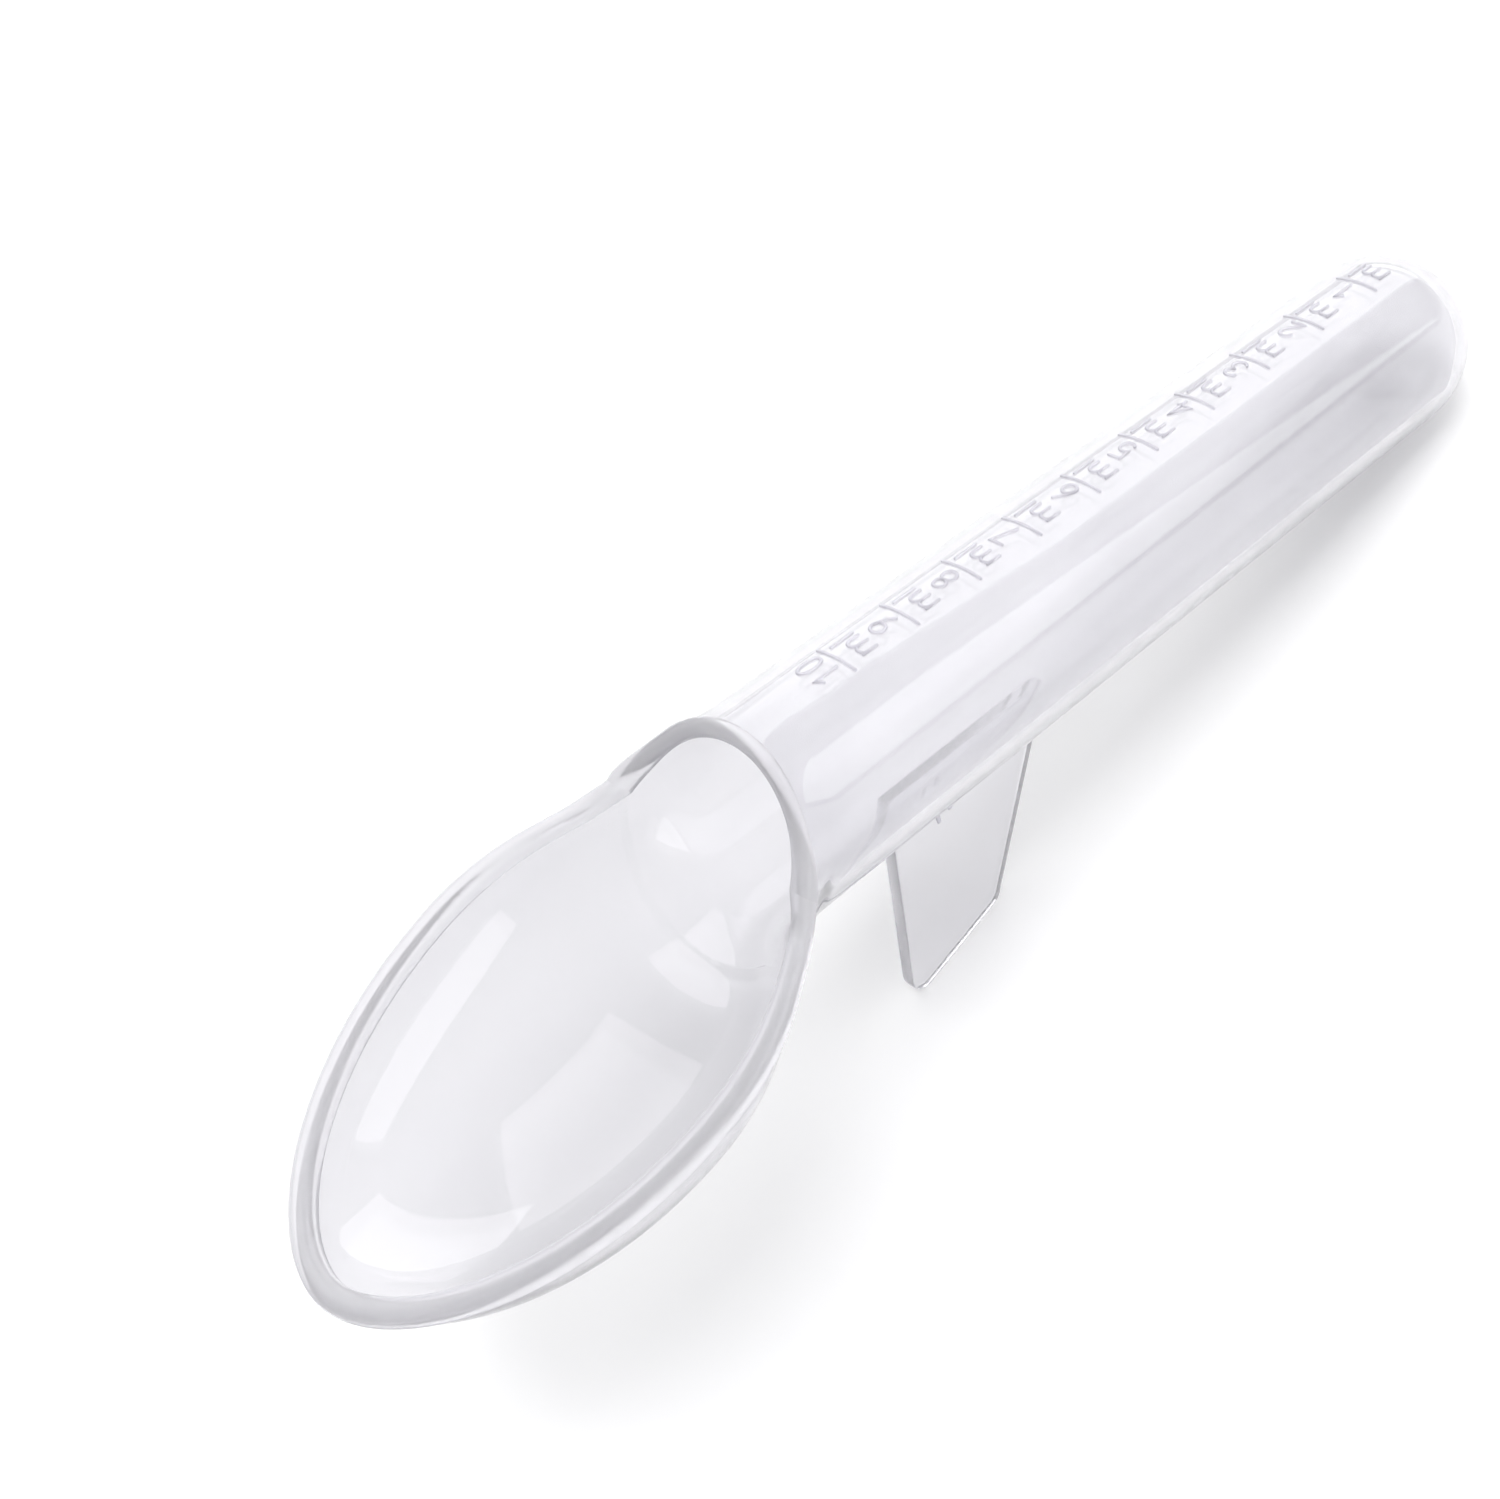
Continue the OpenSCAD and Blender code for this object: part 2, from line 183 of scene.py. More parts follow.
class SpoonStudioLook(PropertyGroup):
    floor: colour("Floor", "Colour of the floor", (0.97, 0.97, 0.97))
    sky: colour("Surround", "Colour of the surrounding light", (0.89, 0.89, 0.91))
    sky_power: number("Surround strength", "Strength of the surrounding light", 0.35)
    lens: number("Lens", "Focal length in millimetres", 57.6)
    place: vector("Camera place", "Where the camera stands", (0.0559, 0.102, 0.1595))
    back: vector("Camera back", "From the spoon back to the camera", (0.25, 0.616, 0.747))
    right: vector("Camera right", "Towards the picture's right side", (-0.631, 0.689, -0.356))


# ---------------------------------------------------------------- shape of the moulding


def smooth(x):
    x = min(max(x, 0.0), 1.0)
    return x * x * (3 - 2 * x)


class Shape:
    """Places on the spoon, worked out from the sizes."""

    def __init__(self, context):
        scene = context.scene
        self.tube = scene.spoon_tube
        self.bowl = scene.spoon_bowl
        self.rim = scene.spoon_rim
        self.blend = scene.spoon_blend
        self.keel = scene.spoon_keel
        self.scale = scene.spoon_scale
        t = self.tube
        b = self.bowl
        self.origin_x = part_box("dome_end")[0][0] + t.dome_r
        self.cos = math.cos(t.tilt)
        self.sin = math.sin(t.tilt)
        self.draft = (t.mouth_r - t.dome_r) / t.mouth_s
        self.rim_z = t.mouth_s * self.sin + t.dome_r
        self.back_x = self.stand_x(t.mouth_s, 0)
        self.start = math.asin((t.mouth_r / b.half_w) ** (1 / b.point))
        self.back_reach = (b.wide_x - self.back_x) / math.cos(self.start)
        low_s = t.mouth_s + t.mouth_lean
        self.low_x = self.stand_x(low_s, -t.mouth_r)
        self.low_drop = self.rim_z - self.stand_z(low_s, -t.mouth_r)
        self.stretch = math.hypot(t.mouth_lean, t.mouth_r) / t.mouth_r
        self.deep_x = b.wide_x + b.deep_ahead
        ahead = Vector((t.mouth_r, 0, t.mouth_lean))
        along = Vector((self.cos, 0, self.sin))
        above = Vector((-self.sin, 0, self.cos))
        self.mouth_up = (along * ahead.x + above * ahead.z).normalized()
        self.corner_up = (self.mouth_up + Vector((0, 0, 1))).normalized()
        bore = t.dome_r - t.wall
        dome_volume = 2 / 3 * math.pi * bore**3
        self.marks = []
        for k in range(1, GRADUATIONS + 1):
            cube = bore**3 + 3 * self.draft * (k * MILLILITRE - dome_volume) / math.pi
            self.marks.append((cube ** (1 / 3) - bore) / self.draft)
        self.barrel_mid = (self.marks[4] + self.marks[5]) / 2
        self.barrel_end = self.marks[-1] + t.mark_gap

    def tube_r(self, s):
        return self.tube.dome_r + self.draft * s

    def stand_x(self, s, v):
        return s * self.cos - v * self.sin

    def stand_z(self, s, v):
        return s * self.sin + v * self.cos + self.tube.dome_r

    def at(self, s, y, v):
        """Point s along the tube's axis, y to its left and v above it."""
        return Vector((self.origin_x + self.stand_x(s, v), y, self.stand_z(s, v)))

    def around(self, s, r, turn):
        """Point at radius r about the axis, turn measured from the top."""
        return self.at(s, r * math.sin(turn), r * math.cos(turn))

    def flare(self, inset):
        """Share by which the mouth is wider than the round tube."""
        return self.tube.flare / (self.tube.mouth_r - inset)

    def rounding(self, turn, away):
        """Shift that rounds the wall, at a turn from the top and a distance away from the mouth's edge."""
        blend = self.blend
        along = away + self.tube.mouth_r * math.asin(abs(math.cos(turn)))
        side = blend.side_rise * max(1 - along / blend.side_reach, 0.0) ** 2
        below = smooth(blend.ridge_top - math.cos(turn))
        ridge = blend.ridge_fall * below * max(1 - away / blend.ridge_reach, 0.0) ** 2
        return Vector((0, ridge * math.sin(turn), side + ridge * math.cos(turn)))

    def lead(self, u):
        """Share of the mouth's lean that a section of the bowl still has."""
        return (1 - u) ** 2

    def outline(self, u, grow):
        """Plan of the bowl's rim at u from 0 at the mouth to 1 at the tip."""
        b = self.bowl
        t = self.start + (math.pi - self.start) * u
        reach = self.back_reach if t < math.pi / 2 else b.tip_x - b.wide_x + grow
        x = b.wide_x - reach * math.cos(t)
        w = (b.half_w + grow) * max(math.sin(t), 0.0) ** b.point
        first = (b.half_w + grow) * math.sin(self.start) ** b.point
        wider = self.tube.mouth_r + self.tube.flare + grow - first
        w += wider * max(1 - u / self.blend.flare_end, 0.0) ** 2
        return x, max(w, 0.0)

    def drop(self, x, grow):
        """How far the bowl's bottom lies below its rim."""
        b = self.bowl
        if x < self.deep_x:
            share = (self.deep_x - x) / (self.deep_x - self.low_x)
            return b.depth - (b.depth - self.low_drop) * share**2
        share = (x - self.deep_x) / (b.tip_x + grow - self.deep_x)
        return b.depth * max(1 - share**2, 0.0) ** b.toe

    def bowl_point(self, u, turn, grow):
        """Point of the bowl's wall: turn runs from -90 degrees on one rim to 90 on the other."""
        x, w = self.outline(u, grow)
        low_x = x + (self.low_x - self.back_x) * self.lead(u)
        fall = self.drop(low_x, grow)
        stretch = 1 + (self.stretch - 1) * self.lead(u)
        down = Vector((low_x - x, 0, -fall))
        down *= 1 + grow * stretch * (1 if fall > 0 else 0) / max(down.length, 0.001)
        flat = Vector((self.origin_x + x, w * math.sin(turn), self.rim_z))
        return flat + down * math.cos(turn) + self.rounding(math.pi - turn, x - self.back_x)


# ---------------------------------------------------------------- meshes


class Skin:
    """A closed mesh put together from rings of points."""

    def __init__(self):
        self.points = []
        self.faces = []
        self.slots = []

    def ring(self, points):
        first = len(self.points)
        self.points.extend(points)
        return list(range(first, first + len(points)))

    def bridge(self, a, b, slot=0, closed=True):
        n = len(a)
        for i in range(n if closed else n - 1):
            j = (i + 1) % n
            self.face([a[i], a[j], b[j], b[i]], slot)

    def fan(self, ring, tip, slot=0):
        n = len(ring)
        for i in range(n):
            self.face([ring[i], ring[(i + 1) % n], tip], slot)

    def face(self, corners, slot=0):
        self.faces.append(corners)
        self.slots.append(slot)

    def piece(self, name, nodes, plastics, slot, crease=40):
        """Makes the object, joins equal points, turns the faces outwards and hangs it on the frame."""
        mesh = bpy.data.meshes.new(name)
        mesh.from_pydata([tuple(p) for p in self.points], [], self.faces)
        for material in plastics:
            mesh.materials.append(material)
        mesh.polygons.foreach_set("material_index", self.slots)
        tidy(mesh)
        mesh.shade_smooth()
        mesh.set_sharp_from_angle(angle=math.radians(crease))
        piece = bpy.data.objects.new(name, mesh)
        bpy.context.scene.collection.objects.link(piece)
        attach(piece, BODY)
        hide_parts(*nodes)
        return piece


def tidy(mesh):
    """Joins points that coincide and turns every face outwards."""
    work = bmesh.new()
    work.from_mesh(mesh)
    bmesh.ops.remove_doubles(work, verts=work.verts, dist=2e-7)
    bmesh.ops.dissolve_degenerate(work, edges=work.edges, dist=1e-7)
    bmesh.ops.recalc_face_normals(work, faces=work.faces)
    work.to_mesh(mesh)
    work.free()
    mesh.validate()


# ---------------------------------------------------------------- materials

# Between these places along X the tube's lighter tint, which is painted light, passes into the bowl's
BLEND_X = (0.009, 0.0235)


def socket_in(group, name, kind, default):
    made = group.interface.new_socket(name=name, in_out="INPUT", socket_type=kind)
    made.default_value = default
    return made


def flow_group():
    """Faint flow bands and surface ripple of a clear moulding, with a blend along X from one colour into
    another; on the tube that blend carries painted light, from the tube's lighter copy of the colour into the
    bowl's.
    """
    group = bpy.data.node_groups.get("Moulded flow")
    if group:
        return group
    group = bpy.data.node_groups.new("Moulded flow", "ShaderNodeTree")
    socket_in(group, "Clear", "NodeSocketColor", (1, 1, 1, 1))
    socket_in(group, "Cloudy", "NodeSocketColor", (0.9, 0.9, 0.9, 1))
    socket_in(group, "Clear ahead", "NodeSocketColor", (1, 1, 1, 1))
    socket_in(group, "Cloudy ahead", "NodeSocketColor", (0.9, 0.9, 0.9, 1))
    socket_in(group, "Roughness", "NodeSocketFloat", 0.03)
    socket_in(group, "Ripple", "NodeSocketFloat", 1.0)
    group.interface.new_socket(name="Color", in_out="OUTPUT", socket_type="NodeSocketColor")
    group.interface.new_socket(name="Roughness", in_out="OUTPUT", socket_type="NodeSocketFloat")
    group.interface.new_socket(name="Height", in_out="OUTPUT", socket_type="NodeSocketFloat")
    nodes = group.nodes
    link = group.links.new
    inputs = nodes.new("NodeGroupInput")
    outputs = nodes.new("NodeGroupOutput")
    place = nodes.new("ShaderNodeTexCoord")
    stretch = nodes.new("ShaderNodeMapping")
    stretch.inputs["Scale"].default_value = (60, 220, 220)
    bands = nodes.new("ShaderNodeTexNoise")
    bands.inputs["Scale"].default_value = 1.0
    bands.inputs["Detail"].default_value = 3.0
    ramp = nodes.new("ShaderNodeMapRange")
    ramp.inputs["From Min"].default_value = 0.35
    ramp.inputs["From Max"].default_value = 0.75
    split = nodes.new("ShaderNodeSeparateXYZ")
    ahead = nodes.new("ShaderNodeMapRange")
    ahead.inputs["From Min"].default_value = BLEND_X[0]
    ahead.inputs["From Max"].default_value = BLEND_X[1]
    clear = nodes.new("ShaderNodeMix")
    clear.data_type = "RGBA"
    cloudy = nodes.new("ShaderNodeMix")
    cloudy.data_type = "RGBA"
    mix = nodes.new("ShaderNodeMix")
    mix.data_type = "RGBA"
    dull = nodes.new("ShaderNodeMath")
    dull.operation = "MULTIPLY_ADD"
    dull.inputs[1].default_value = 0.03
    ripple = nodes.new("ShaderNodeTexNoise")
    ripple.inputs["Scale"].default_value = 90.0
    ripple.inputs["Detail"].default_value = 1.0
    swell = nodes.new("ShaderNodeMath")
    swell.operation = "MULTIPLY"
    link(place.outputs["Object"], stretch.inputs["Vector"])
    link(stretch.outputs["Vector"], bands.inputs["Vector"])
    link(bands.outputs["Fac"], ramp.inputs["Value"])
    link(ramp.outputs["Result"], mix.inputs["Factor"])
    link(place.outputs["Object"], split.inputs["Vector"])
    link(split.outputs["X"], ahead.inputs["Value"])
    link(ahead.outputs["Result"], clear.inputs["Factor"])
    link(ahead.outputs["Result"], cloudy.inputs["Factor"])
    link(inputs.outputs["Clear"], clear.inputs["A"])
    link(inputs.outputs["Clear ahead"], clear.inputs["B"])
    link(inputs.outputs["Cloudy"], cloudy.inputs["A"])
    link(inputs.outputs["Cloudy ahead"], cloudy.inputs["B"])
    link(clear.outputs["Result"], mix.inputs["A"])
    link(cloudy.outputs["Result"], mix.inputs["B"])
    link(mix.outputs["Result"], outputs.inputs["Color"])
    link(ramp.outputs["Result"], dull.inputs[0])
    link(inputs.outputs["Roughness"], dull.inputs[2])
    link(dull.outputs[0], outputs.inputs["Roughness"])
    link(place.outputs["Object"], ripple.inputs["Vector"])
    link(ripple.outputs["Fac"], swell.inputs[0])
    link(inputs.outputs["Ripple"], swell.inputs[1])
    link(swell.outputs[0], outputs.inputs["Height"])
    return group


def plastic(name, look, tint, cloud, clear, rough, ripple, ahead=None):
    """Moulded plastic that lets the lamps' light through to what lies behind it."""
    found = bpy.data.materials.get(name)
    if found:
        return found
    material = bpy.data.materials.new(name)
    material.use_nodes = True
    nodes = material.node_tree.nodes
    link = material.node_tree.links.new
    nodes.clear()
    flow = nodes.new("ShaderNodeGroup")
    flow.node_tree = flow_group()
    flow.inputs["Clear"].default_value = (*tint, 1)
    flow.inputs["Cloudy"].default_value = (*cloud, 1)
    tint_ahead, cloud_ahead = ahead or (tint, cloud)
    flow.inputs["Clear ahead"].default_value = (*tint_ahead, 1)
    flow.inputs["Cloudy ahead"].default_value = (*cloud_ahead, 1)
    flow.inputs["Roughness"].default_value = rough
    flow.inputs["Ripple"].default_value = ripple
    body = nodes.new("ShaderNodeBsdfPrincipled")
    body.inputs["IOR"].default_value = look.ior
    body.inputs["Transmission Weight"].default_value = clear
    bump = nodes.new("ShaderNodeBump")
    bump.inputs["Distance"].default_value = look.ripple
    bump.inputs["Strength"].default_value = 1.0
    passing = nodes.new("ShaderNodeBsdfTransparent")
    passing.inputs["Color"].default_value = (*look.shade, 1)
    ray = nodes.new("ShaderNodeLightPath")
    choose = nodes.new("ShaderNodeMixShader")
    output = nodes.new("ShaderNodeOutputMaterial")
    link(flow.outputs["Color"], body.inputs["Base Color"])
    link(flow.outputs["Roughness"], body.inputs["Roughness"])
    link(flow.outputs["Height"], bump.inputs["Height"])
    link(bump.outputs["Normal"], body.inputs["Normal"])
    link(ray.outputs["Is Shadow Ray"], choose.inputs["Fac"])
    link(body.outputs["BSDF"], choose.inputs[1])
    link(passing.outputs["BSDF"], choose.inputs[2])
    link(choose.outputs["Shader"], output.inputs["Surface"])
    return material


def joint_material():
    """Where two features of the one moulding meet there is no surface to see."""
    found = bpy.data.materials.get("Moulding joint")
    if found:
        return found
    material = bpy.data.materials.new("Moulding joint")
    material.use_nodes = True
    nodes = material.node_tree.nodes
    nodes.clear()
    passing = nodes.new("ShaderNodeBsdfTransparent")
    output = nodes.new("ShaderNodeOutputMaterial")
    material.node_tree.links.new(passing.outputs["BSDF"], output.inputs["Surface"])
    return material


def materials(context, name):
    """The plastic of that name, and the joint that its piece shares with its neighbours."""
    look = context.scene.spoon_plastic
    # Painted shade: the marks' darker tint and cloud stand in for the shade along their relief
    mark_shaded_cloud = [0.94 * c for c in look.mark_shaded_tint]
    ahead = (look.tint, look.cloud)
    plastics = {
        "Clear plastic": (look.tint, look.cloud, look.clear, look.rough, 1.0),
        # Painted light: the tube's lighter tint passes into the bowl's own tint along X
        "Tube plastic": (look.tube_lightened_tint, look.tube_lightened_cloud, look.clear, look.rough, 1.0, ahead),
        "Thick plastic": (look.thick_tint, look.thick_tint, look.thick_clear, look.rough, 1.0),
        # Painted light: the keel's lighter tint
        "Keel plastic": (look.keel_lightened_tint, look.tint, look.clear, look.rough, 1.0),
        "Raised marks": (look.mark_shaded_tint, mark_shaded_cloud, look.mark_clear, look.mark_rough, 2.0),
    }
    return [plastic(name, look, *plastics[name]), joint_material()]


# ---------------------------------------------------------------- pieces of the tube


def revolve(skin, shape, profile, around):
    """Turns a closed profile of (s, r, slot) about the tube's axis; a slot is for the face that follows."""
    rings = []
    for s, r, _ in profile:
        if r < 1e-7:
            rings.append(skin.ring([shape.at(s, 0, 0)]))
        else:
            rings.append(skin.ring([shape.around(s, r, 2 * math.pi * k / around) for k in range(around)]))
    for i, (_, _, slot) in enumerate(profile):
        a = rings[i]
        b = rings[(i + 1) % len(rings)]
        if len(a) == 1 and len(b) == 1:
            continue
        if len(a) == 1:
            skin.fan(b, a[0], slot)
        elif len(b) == 1:
            skin.fan(a, b[0], slot)
        else:
            skin.bridge(a, b, slot)


class SPOON_OT_dome(Operator):
    """Build the domed end of the tube"""

    bl_idname = "spoon.dome"
    bl_label = "Domed end"

    def execute(self, context):
        shape = Shape(context)
        outer = shape.tube.dome_r
        inner = outer - shape.tube.wall
        turns = 40
        profile = []
        for k in range(turns + 1):
            a = math.pi / 2 * k / turns
            profile.append((-outer * math.cos(a), outer * math.sin(a), 1 if k == turns else 0))
        for k in range(turns, -1, -1):
            a = math.pi / 2 * k / turns
            profile.append((-inner * math.cos(a), inner * math.sin(a), 0))
        skin = Skin()
        revolve(skin, shape, profile, shape.tube.around)
        skin.piece("Dome", ["dome_end"], materials(context, "Tube plastic"), "clear_plastic")
        return {"FINISHED"}


class SPOON_OT_barrel(Operator):
    """Build the two lengths of the graduated tube"""

    bl_idname = "spoon.barrel"
    bl_label = "Graduated tube"

    def execute(self, context):
        shape = Shape(context)
        self.barrel(context, shape, "Barrel_lower", "barrel_lower", 0, shape.barrel_mid)
        self.barrel(context, shape, "Barrel_upper", "barrel_upper", shape.barrel_mid, shape.barrel_end)
        return {"FINISHED"}

    def barrel(self, context, shape, name, node, s0, s1):
        """One length of the tube, from s0 to s1 along its axis."""
        parts = 24
        wall = shape.tube.wall
        along = [s0 + (s1 - s0) * k / parts for k in range(parts + 1)]
        profile = [(s, shape.tube_r(s), 0) for s in along]
        profile[-1] = (s1, shape.tube_r(s1), 1)
        profile += [(s, shape.tube_r(s) - wall, 0) for s in reversed(along)]
        profile[-1] = (s0, shape.tube_r(s0) - wall, 1)
        skin = Skin()
        revolve(skin, shape, profile, shape.tube.around)
        skin.piece(name, [node], materials(context, "Tube plastic"), "clear_plastic")


def mouth_edge(shape, inset, turn):
    """Place along the axis and radius of the oblique mouth, inset from the tube's outside."""
    t = shape.tube
    r = t.mouth_r - inset
    return t.mouth_s - t.mouth_lean * math.cos(turn) * r / t.mouth_r, r


class SPOON_OT_mouth(Operator):
    """Build the oblique mouth of the tube and the lip over it"""

    bl_idname = "spoon.mouth"
    bl_label = "Mouth"

    def execute(self, context):
        shape = Shape(context)
        around = shape.tube.around
        start = shape.blend.flare_start
        rows = 20
        crowding = 1.6
        skin = Skin()
        rings = []
        for inset in (0, shape.tube.wall):
            wall_rings = []
            for i in range(rows + 1):
                points = []
                for k in range(around):
                    turn = 2 * math.pi * k / around
                    end, end_r = mouth_edge(shape, inset, turn)
                    share = 1 - (1 - i / rows) ** crowding
                    s = shape.barrel_end + (end - shape.barrel_end) * share
                    r = shape.tube_r(s) - inset
                    p = shape.around(s, r + (end_r - r) * share, turn)
                    p.y *= 1 + shape.flare(inset) * max((share - start) / (1 - start), 0.0) ** 2
                    points.append(p + shape.rounding(turn, end - s))
                wall_rings.append(skin.ring(points))
            for a, b in zip(wall_rings, wall_rings[1:]):
                skin.bridge(a, b)
            rings.append(wall_rings)
        skin.bridge(rings[0][0], rings[1][0], 1)
        skin.bridge(rings[0][-1], rings[1][-1], 1)
        skin.piece("Mouth", ["mouth_hood"], materials(context, "Tube plastic"), "clear_plastic")
        self.lip(context, shape)
        return {"FINISHED"}

    def lip(self, context, shape):
        """Rounded lip along the upper half of the mouth."""
        parts = 72
        skin = bead_skin([lip_ring(shape, math.pi * (k / parts - 0.5)) for k in range(parts + 1)])
        skin.piece("Mouth_lip", ["mouth_lip"], materials(context, "Thick plastic"), "clear_plastic")


BEAD_FACETS = 14


def bead_section(inner, outer, edge, back, up, height, square):
    """Section of a bead on a wall's end: the wall's two edges, then from edge over the top to back."""
    middle = (edge + back) / 2
    half = (edge - back) / 2
    points = [inner, outer]
    for k in range(BEAD_FACETS + 1):
        a = math.pi * k / BEAD_FACETS
        points.append(middle + half * math.cos(a) + up * (height * math.sin(a) ** square))
    return points


def bead_skin(rings):
    """Closed bead through its sections; it has no surface where it sits on the wall or where it ends."""
    skin = Skin()
    rings = [skin.ring(points) for points in rings]
    for a, b in zip(rings, rings[1:]):
        for i in range(len(a)):
            j = (i + 1) % len(a)
            skin.face([a[i], a[j], b[j], b[i]], 1 if i == 0 else 0)
    skin.face(rings[0], 1)
    skin.face(rings[-1], 1)
    return skin


def lip_ring(shape, turn):
    """Section of the lip, from a plain round edge at the top to the bead's own shape at the sides."""
    t = shape.tube
    s_out, r_out = mouth_edge(shape, 0, turn)
    s_in, r_in = mouth_edge(shape, t.wall, turn)
    outer = shape.around(s_out, r_out, turn)
    inner = shape.around(s_in, r_in, turn)
    outer.y *= 1 + shape.flare(0)
    inner.y *= 1 + shape.flare(t.wall)
    outer += shape.rounding(turn, 0)
    inner += shape.rounding(turn, 0)
    out = (outer - inner).normalized()
    rim = shape.rim
    share = smooth(1 - shape.blend.lip_side * (1 - abs(turn) / (math.pi / 2)))
    up = shape.mouth_up.lerp(shape.corner_up, share).normalized()
    width = rim.lip_t + (rim.bead_w - rim.lip_t) * share
    height = rim.lip_h + (rim.bead_h - rim.lip_h) * share
    centred = (rim.lip_t - t.wall) / 2
    overhang = centred + (rim.bead_out - centred) * share
    edge = outer + out * overhang
    back = edge - out * width
    return bead_section(inner, outer, edge, back, up, height, 1 - (1 - rim.square) * share)


# ---------------------------------------------------------------- bowl and rim


class SPOON_OT_bowl(Operator):
    """Build the bowl's thin wall"""

    bl_idname = "spoon.bowl"
    bl_label = "Bowl"

    def execute(self, context):
        shape = Shape(context)
        steps = shape.bowl.steps
        arcs = shape.bowl.arcs
        skin = Skin()
        walls = []
        for grow in (0, -shape.tube.wall):
            rows = []
            for i in range(steps + 1):
                turns = [math.pi * (j / arcs - 0.5) for j in range(arcs + 1)]
                rows.append(skin.ring([shape.bowl_point(i / steps, turn, grow) for turn in turns]))
            for a, b in zip(rows, rows[1:]):
                skin.bridge(a, b, closed=False)
            walls.append(rows)
        outer, inner = walls
        for i in range(steps):
            for side in (0, arcs):
                corners = [outer[i][side], outer[i + 1][side], inner[i + 1][side], inner[i][side]]
                skin.face(corners, 1)
        for j in range(arcs):
            skin.face([outer[0][j], outer[0][j + 1], inner[0][j + 1], inner[0][j]], 1)
        skin.piece("Bowl", ["bowl_shell"], materials(context, "Clear plastic"), "clear_plastic")
        return {"FINISHED"}


class SPOON_OT_rim(Operator):
    """Build the rounded bead around the bowl"""

    bl_idname = "spoon.rim"
    bl_label = "Rim bead"

    def execute(self, context):
        shape = Shape(context)
        steps = shape.bowl.steps * 2
        rings = []
        for i in range(2 * steps + 1):
            side = 1 if i <= steps else -1
            u = i / steps if i <= steps else 2 - i / steps
            rings.append(self.section(shape, u, side))
        skin = bead_skin(rings)
        skin.piece("Rim_bead", ["rim_bead"], materials(context, "Thick plastic"), "clear_plastic")
        return {"FINISHED"}

    def section(self, shape, u, side):
        """Section of the bead at u along the rim, on the side 1 or -1."""
        rim = shape.rim

        def plan(grow):
            x, w = shape.outline(u, grow)
            flat = Vector((shape.origin_x + x, side * w, shape.rim_z))
            return flat + shape.rounding(side * math.pi / 2, x - shape.back_x)

        up = Vector((0, 0, 1)).lerp(shape.corner_up, 1 - smooth(u * shape.blend.lean_steps)).normalized()
        edge = plan(rim.bead_out)
        back = plan(rim.bead_out - rim.bead_w)
        return bead_section(plan(-shape.tube.wall), plan(0), edge, back, up, rim.bead_h, rim.square)


# ---------------------------------------------------------------- keel


def corner_arc(a, b, c, radius, parts):
    """Round corner at b between the sides from a and to c, in the plane of the keel."""
    u = (a - b).normalized()
    v = (c - b).normalized()
    half = math.acos(max(-1.0, min(1.0, u.dot(v)))) / 2
    centre = b + (u + v).normalized() * (radius / math.sin(half))
    first = b + u * (radius / math.tan(half)) - centre
    sweep = math.pi - 2 * half
    sign = 1 if u.x * v.y - u.y * v.x < 0 else -1
    turns = [sign * sweep * k / parts for k in range(parts + 1)]
    return [centre + Matrix.Rotation(g, 2) @ first for g in turns]


class SPOON_OT_keel(Operator):
    """Build the keel that the spoon stands on, with its two small strokes"""

    bl_idname = "spoon.keel"
    bl_label = "Keel"

    def execute(self, context):
        shape = Shape(context)
        keel = shape.keel
        r = shape.tube_r(keel.root_front)
        foot_v = -(keel.root_front * shape.sin + shape.tube.dome_r) / shape.cos
        foot_front = Vector((shape.stand_x(keel.root_front, foot_v), 0))
        foot_back = Vector((foot_front.x - keel.foot, 0))
        root_back = Vector((shape.stand_x(keel.root_back, -r), shape.stand_z(keel.root_back, -r)))
        root_front = Vector((shape.stand_x(keel.root_front, -r), shape.stand_z(keel.root_front, -r)))
        lower = corner_arc(root_back, foot_back, foot_front, keel.corner, 10)
        lower += corner_arc(foot_back, foot_front, root_front, keel.corner, 10)
        middle = (root_back + root_front + foot_back + foot_front) / 4
        skin = Skin()
        layers = 8
        rings = []
        for k in range(layers + 1):
            a = math.pi * (k / layers - 0.5)
            y = math.copysign(abs(math.sin(a)) ** keel.flat, a) * keel.thick / 2
            inset = keel.edge * (1 - math.sqrt(max(math.cos(a), 0.0)))
            rings.append(skin.ring(self.layer(shape, lower, middle, y, inset)))
        side = len(lower)
        for a, b in zip(rings, rings[1:]):
            for i in range(len(a)):
                j = (i + 1) % len(a)
                skin.face([a[i], a[j], b[j], b[i]], 1 if i >= side and j >= side else 0)
        skin.face(rings[0])
        skin.face(rings[-1])
        skin.piece("Keel", ["stand_fin"], materials(context, "Keel plastic"), "clear_plastic")
        self.strokes(context, shape)
        return {"FINISHED"}

    def layer(self, shape, lower, middle, y, inset):
        """Outline of the keel at one distance from its middle plane."""
        keel = shape.keel
        points = []
        for p in lower:
            q = p + (middle - p).normalized() * inset
            points.append(Vector((shape.origin_x + q.x, y, max(q.y, 0.0))))
        parts = 16
        for k in range(parts + 1):
            s = keel.root_front + (keel.root_back - keel.root_front) * k / parts
            s -= inset * (1 - 2 * k / parts)
            r = shape.tube_r(s) + GAP
            points.append(shape.at(s, y, -math.sqrt(r * r - y * y)))
        return points

    def strokes(self, context, shape):
        keel = shape.keel
        skin = Skin()
        first_s = keel.root_front - keel.stroke_back
        for k in range(2):
            s = first_s + keel.stroke_pitch * k
            v = -shape.tube_r(first_s) - keel.stroke_below - keel.stroke_fall * k
            bar(skin, shape, s, v)
        skin.piece("Keel_strokes", ["fin_marks"], materials(context, "Raised marks"), "clear_marks")


